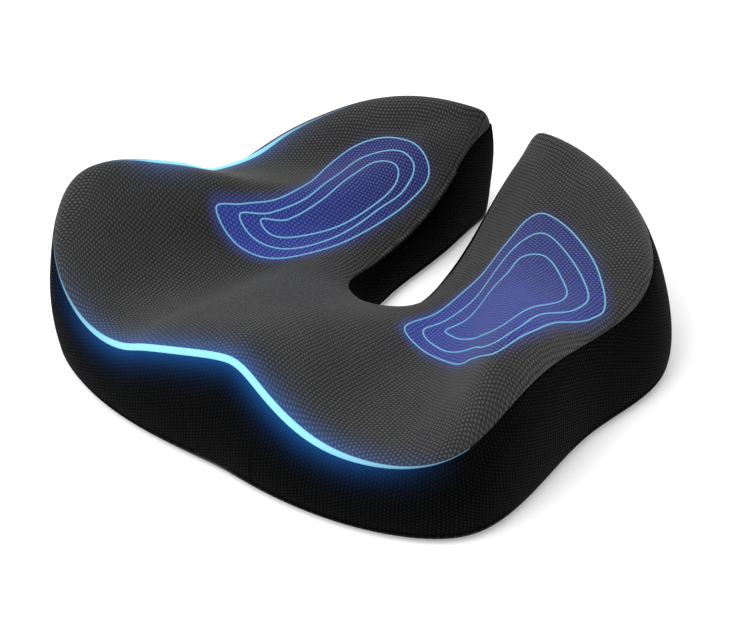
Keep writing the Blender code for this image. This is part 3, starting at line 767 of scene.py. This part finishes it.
def rim_of(mesh):
    """The underside's edge, as points in order round the cushion, and the length to each."""
    bm = bmesh.new()
    bm.from_mesh(mesh)
    rim = [e for e in bm.edges if BOTTOM in {f.material_index for f in e.link_faces}
           and {f.material_index for f in e.link_faces} & {SIDE, SLOT}]
    beside = {}
    for edge in rim:
        for vert in edge.verts:
            beside.setdefault(vert, []).append(edge.other_vert(vert))
    walk = [min(beside, key=lambda vert: vert.co.y)]
    while True:
        onward = [vert for vert in beside[walk[-1]] if vert not in walk[-2:] and vert is not walk[0]]
        if not onward or (len(walk) > 2 and len(walk) >= len(beside)):
            break
        walk.append(onward[0])
    line = np.array([list(vert.co) for vert in walk])
    bm.free()
    steps = np.linalg.norm(np.diff(line, axis=0), axis=1)
    return line, np.concatenate([[0], np.cumsum(steps)])


rim_line, rim_length = rim_of(skin)
# The bands' colours are the top's cloth made far darker: painted shade on the outer band, deeper painted
# shade in the slot.
for name, panel, replaced, gap, cell in (
    ("side_band", SIDE, "cover_side_band", (0.0003, 0.0003, 0.0003), (0.0022, 0.0022, 0.0023)),
    ("slot_band", SLOT, "cover_slot_band", (0.0002, 0.0002, 0.0002), (0.0007, 0.0007, 0.0007)),
):
    band = panel_from(skin, name, {panel})
    marked(band.data, "weave", wall_weave(band.data))
    marked(band.data, "glow", lit_by(points_of(band.data)))
    made, tree, shader, cloth, shade = mesh_cloth(
        name.replace("_", " ").capitalize() + " mesh", gap, cell, CELLS_PER_METRE, 0.7 * MM, 0.0
    )
    shader.inputs["Specular IOR Level"].default_value = 0.04
    shader.inputs["Emission Strength"].default_value = 1.0
    tree.links.new(shade, shader.inputs["Base Color"])
    glow = node(tree, "Attribute", attribute_name="glow").outputs["Fac"]
    tree.links.new(mixed(tree, glow, (0, 0, 0, 1), HALO), shader.inputs["Emission Color"])
    finish(thickened(band, COVER), "cushion", "side_fabric", made, replaced, fill=0.9)

# ---- Cover, underside ---------------------------------------------------------------------------
# Two panels of plain woven cloth with small rubber dots that grip the seat. They meet at the zip,
# where their folded hems leave a long window and are held by a row of stitches.
ZIP_Y = (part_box("zip_placket_front")[0][1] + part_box("zip_placket_rear")[1][1]) / 2
WINDOW_HALF_LENGTH, WINDOW_HALF_WIDTH = 0.150, 0.012
DOT_PITCH, DOT_RADIUS, DOT_HEIGHT = 11 * MM, 1.7 * MM, 0.5 * MM
STITCH_PITCH, STITCH_LENGTH, STITCH_WIDTH, STITCH_BACK = 4 * MM, 2.8 * MM, 0.7 * MM, 3.5 * MM


def underside(name, rear):
    bm = bmesh.new()
    bm.from_mesh(skin)
    bmesh.ops.delete(bm, geom=[f for f in bm.faces if f.material_index != BOTTOM], context="FACES")
    for x, y, way in (
        (0, ZIP_Y, (0, 1, 0)),
        (0, ZIP_Y - WINDOW_HALF_WIDTH, (0, 1, 0)),
        (0, ZIP_Y + WINDOW_HALF_WIDTH, (0, 1, 0)),
        (-WINDOW_HALF_LENGTH, 0, (1, 0, 0)),
        (WINDOW_HALF_LENGTH, 0, (1, 0, 0)),
    ):
        bmesh.ops.bisect_plane(
            bm, geom=bm.verts[:] + bm.edges[:] + bm.faces[:], plane_co=(x, y, 0), plane_no=way, dist=1e-6
        )
    away = []
    for face in bm.faces:
        middle = face.calc_center_median()
        beside = (middle.y > ZIP_Y) != rear
        window = abs(middle.x) < WINDOW_HALF_LENGTH and abs(middle.y - ZIP_Y) < WINDOW_HALF_WIDTH
        if beside or window:
            away.append(face)
    bmesh.ops.delete(bm, geom=away, context="FACES")
    for face in bm.faces:
        face.material_index = 0
        face.smooth = True
    return thickened(new_piece(name, bm), COVER)


grip_cloth, tree, shader = finish_named(
    "Underside cloth", ("Specular IOR Level", 0.25), ("Sheen Weight", 0.1)
)
place = node(tree, "TexCoord").outputs["Object"]
warp = node(tree, "TexWave", ("Vector", place), ("Scale", 260), ("Distortion", 0.6), bands_direction="X")
weft = node(tree, "TexWave", ("Vector", place), ("Scale", 260), ("Distortion", 0.6), bands_direction="Y")
over = node(tree, "Math", (0, warp.outputs["Fac"]), (1, weft.outputs["Fac"]),
            operation="MULTIPLY").outputs[0]
patch = node(tree, "TexNoise", ("Vector", place), ("Scale", 14), ("Detail", 3))
shade = mixed(tree, over, (0.004, 0.004, 0.0045, 1), (0.030, 0.030, 0.032, 1))
shade = mixed(tree, patch.outputs["Fac"], shade, (0.014, 0.014, 0.015, 1))
tree.links.new(shade, shader.inputs["Base Color"])
rough = node(tree, "MapRange", ("Value", over), ("To Min", 0.95), ("To Max", 0.7))
tree.links.new(rough.outputs[0], shader.inputs["Roughness"])
raised = node(tree, "Bump", ("Height", over), ("Distance", 0.25 * MM), ("Strength", 0.9))
tree.links.new(raised.outputs[0], shader.inputs["Normal"])
for name, rear in (("underside_front", False), ("underside_rear", True)):
    replaced = "bottom_panel_rear" if rear else "bottom_panel_front"
    finish(underside(name, rear), "cushion", "grip_fabric", grip_cloth, replaced, fill=0.9)

under_tree = BVHTree.FromPolygons(
    [v.co for v in skin.vertices],
    [p.vertices for p in skin.polygons if p.material_index == BOTTOM],
)
bm = bmesh.new()
rows = int(0.21 / (DOT_PITCH * 0.866))
for row in range(-rows, rows + 1):
    for column in range(-20, 21):
        x, y = (column + 0.5 * (row % 2)) * DOT_PITCH, row * DOT_PITCH * 0.866
        by_window = abs(x) < WINDOW_HALF_LENGTH + 0.012 and abs(y - ZIP_Y) < WINDOW_HALF_WIDTH + 0.012
        hit = under_tree.ray_cast(Vector((x, y, -0.05)), Vector((0, 0, 1)))[0]
        rim_gap = np.hypot(rim_line[:, 0] - x, rim_line[:, 1] - y).min()
        if by_window or hit is None or rim_gap < 0.016:
            continue
        rings = []
        for radius, z in ((1.0, 0.3), (0.95, 0.0), (0.62, -0.7)):
            rings.append([
                bm.verts.new((
                    x + DOT_RADIUS * radius * math.cos(turn), y + DOT_RADIUS * radius * math.sin(turn),
                    DOT_HEIGHT * z,
                ))
                for turn in (math.pi * side / 4 for side in range(8))
            ])
        for low, high in zip(rings, rings[1:]):
            for side in range(8):
                nxt = (side + 1) % 8
                bm.faces.new((low[nxt], low[side], high[side], high[nxt]))
        bm.faces.new(rings[-1][::-1])
        bm.faces.new(rings[0])
for face in bm.faces:
    face.smooth = len(face.verts) == 4
dots = new_piece("grip_dots", bm)
rubber, tree, shader = finish_named("Grip rubber", ("Specular IOR Level", 0.4))
place = node(tree, "TexCoord").outputs["Object"]
scuffs = node(tree, "TexNoise", ("Vector", place), ("Scale", 700), ("Detail", 3))
tree.links.new(mixed(tree, scuffs.outputs["Fac"], (0.010, 0.010, 0.011, 1), (0.034, 0.034, 0.035, 1)),
               shader.inputs["Base Color"])
rough = node(tree, "MapRange", ("Value", scuffs.outputs["Fac"]), ("To Min", 0.42), ("To Max", 0.68))
tree.links.new(rough.outputs[0], shader.inputs["Roughness"])
raised = node(tree, "Bump", ("Height", scuffs.outputs["Fac"]), ("Distance", 0.05 * MM), ("Strength", 0.5))
tree.links.new(raised.outputs[0], shader.inputs["Normal"])
finish(dots, "cushion", "grip_fabric", rubber)

bm = bmesh.new()
for way in (-1, 1):
    y = ZIP_Y + way * (WINDOW_HALF_WIDTH + STITCH_BACK)
    for k in range(int(2 * WINDOW_HALF_LENGTH / STITCH_PITCH) + 1):
        x = -WINDOW_HALF_LENGTH + k * STITCH_PITCH
        shares = np.array([-0.5, -0.3, 0.0, 0.3, 0.5])
        spots = [(Vector((x + share * STITCH_LENGTH, y, 0.15 * MM)), Vector((0, 0, -1))) for share in shares]
        fat = np.array([0.35, 0.85, 1.0, 0.85, 0.35])
        tube(bm, spots, fat * STITCH_WIDTH, fat * STITCH_WIDTH / 2, 6, False)
stitches = new_piece("zip_stitches", bm)
thread, tree, shader = finish_named("Sewing thread", ("Roughness", 0.6), ("Sheen Weight", 0.3))
place = node(tree, "TexCoord").outputs["Object"]
twist = node(tree, "TexWave", ("Vector", place), ("Scale", 1400), ("Distortion", 0),
             bands_direction="DIAGONAL")
tree.links.new(mixed(tree, twist.outputs["Fac"], (0.02, 0.02, 0.022, 1), (0.07, 0.07, 0.075, 1)),
               shader.inputs["Base Color"])
raised = node(tree, "Bump", ("Height", twist.outputs["Fac"]), ("Distance", 0.08 * MM), ("Strength", 0.8))
tree.links.new(raised.outputs[0], shader.inputs["Normal"])
finish(stitches, "cushion", "zip_tape", thread)

# ---- Zip ----------------------------------------------------------------------------------------
# A nylon coil zip across the underside: folded plackets, two woven tapes, two rows of teeth with
# their stops, and a lacquered metal slider whose flat pull swings on a small wire bail.


def woven(name, dark, light, scale, depth):
    made, tree, shader = finish_named(name, ("Specular IOR Level", 0.3), ("Sheen Weight", 0.15))
    place = node(tree, "TexCoord").outputs["Object"]
    ribs = node(tree, "TexWave", ("Vector", place), ("Scale", scale), ("Distortion", 0.4),
                bands_direction="Y")
    twill = node(tree, "TexWave", ("Vector", place), ("Scale", scale * 1.3), ("Distortion", 0.3),
                 bands_direction="DIAGONAL")
    both = node(tree, "Math", (0, ribs.outputs["Fac"]), (1, twill.outputs["Fac"]),
                operation="MULTIPLY").outputs[0]
    tree.links.new(mixed(tree, both, (*dark, 1), (*light, 1)), shader.inputs["Base Color"])
    rough = node(tree, "MapRange", ("Value", both), ("To Min", 0.92), ("To Max", 0.66))
    tree.links.new(rough.outputs[0], shader.inputs["Roughness"])
    raised = node(tree, "Bump", ("Height", both), ("Distance", depth), ("Strength", 0.9))
    tree.links.new(raised.outputs[0], shader.inputs["Normal"])
    return made


def worn(name, body, rubbed, low, high, metallic, scale, depth):
    """A hard finish, rubbed paler and smoother in patches."""
    made, tree, shader = finish_named(name, ("Metallic", metallic), ("Specular IOR Level", 0.5))
    place = node(tree, "TexCoord").outputs["Object"]
    spread = node(tree, "VectorMath", (0, place), (1, (1, 3, 1)), operation="MULTIPLY")
    rub = node(tree, "TexNoise", ("Vector", spread.outputs[0]), ("Scale", scale), ("Detail", 4))
    mask = node(tree, "MapRange", ("Value", rub.outputs["Fac"]), ("From Min", 0.45),
                ("From Max", 0.72)).outputs[0]
    tree.links.new(mixed(tree, mask, (*body, 1), (*rubbed, 1)), shader.inputs["Base Color"])
    rough = node(tree, "MapRange", ("Value", rub.outputs["Fac"]), ("To Min", low), ("To Max", high))
    tree.links.new(rough.outputs[0], shader.inputs["Roughness"])
    raised = node(tree, "Bump", ("Height", rub.outputs["Fac"]), ("Distance", depth), ("Strength", 0.4))
    tree.links.new(raised.outputs[0], shader.inputs["Normal"])
    return made


placket_cloth = woven("Placket cloth", (0.005, 0.005, 0.006), (0.032, 0.032, 0.034), 300, 0.2 * MM)
tape_cloth = woven("Zip tape", (0.004, 0.004, 0.0045), (0.024, 0.024, 0.026), 620, 0.12 * MM)
nylon = worn("Zip nylon", (0.010, 0.010, 0.011), (0.045, 0.045, 0.047), 0.30, 0.55, 0.0, 900, 0.03 * MM)
lacquer = worn("Slider lacquer", (0.016, 0.016, 0.018), (0.20, 0.19, 0.18), 0.25, 0.5, 0.8, 420, 0.03 * MM)
for name, made in (
    ("zip_placket_front", placket_cloth), ("zip_placket_rear", placket_cloth),
    ("zip_tape_front", tape_cloth), ("zip_tape_rear", tape_cloth),
    ("zip_teeth_front", nylon), ("zip_teeth_rear", nylon),
    ("zip_top_stop_front", nylon), ("zip_top_stop_rear", nylon), ("zip_bottom_stop", nylon),
    ("zip_slider", lacquer), ("zip_pull", lacquer),
):
    for holder in nodes[name].material_slots:
        holder.material = made

# ---- Studio ---------------------------------------------------------------------------------------
# A white sweep in even light, with one large soft lamp above the left front.
floor_bm = bmesh.new()
bmesh.ops.create_grid(floor_bm, x_segments=1, y_segments=1, size=6)
floor = new_piece("floor", floor_bm)
floor.location.z = -0.6 * MM
white, tree, shader = finish_named(
    "White sweep", ("Roughness", 0.9), ("Base Color", (0.9, 0.9, 0.9, 1)),
    ("Emission Color", (1, 1, 1, 1)), ("Emission Strength", 0.25),
)
floor.data.materials.append(white)

world = bpy.data.worlds.new("studio")
bpy.context.scene.world = world
world.use_nodes = True
world.node_tree.nodes["Background"].inputs["Color"].default_value = (1, 1, 1, 1)
world.node_tree.nodes["Background"].inputs["Strength"].default_value = 0.6
bpy.context.scene.view_settings.view_transform = "Standard"


def softbox(name, place, aim, size, power):
    light = bpy.data.lights.new(name, "AREA")
    light.shape = "RECTANGLE"
    light.size, light.size_y = size
    light.energy = power
    lamp = bpy.data.objects.new(name, light)
    bpy.context.scene.collection.objects.link(lamp)
    lamp.location = place
    lamp.rotation_euler = (Vector(aim) - Vector(place)).to_track_quat("-Z", "Y").to_euler()


softbox("key", (-0.3, -0.9, 1.9), (0, 0, 0.05), (2.0, 2.0), 48)

AZIMUTH, ELEVATION, DISTANCE = math.radians(35.94), math.radians(37.36), 1.513
back = Vector((
    math.sin(AZIMUTH) * math.cos(ELEVATION),
    -math.cos(AZIMUTH) * math.cos(ELEVATION),
    math.sin(ELEVATION),
))
camera = bpy.data.objects.new("camera", bpy.data.cameras.new("camera"))
bpy.context.scene.collection.objects.link(camera)
camera.location = Vector((0, 0, 0.04)) + back * DISTANCE
camera.rotation_euler = (-back).to_track_quat("-Z", "Y").to_euler()
camera.data.sensor_width = 36
camera.data.lens = 91.05
camera.data.shift_x = -0.0089
camera.data.shift_y = -0.0296
bpy.context.scene.camera = camera
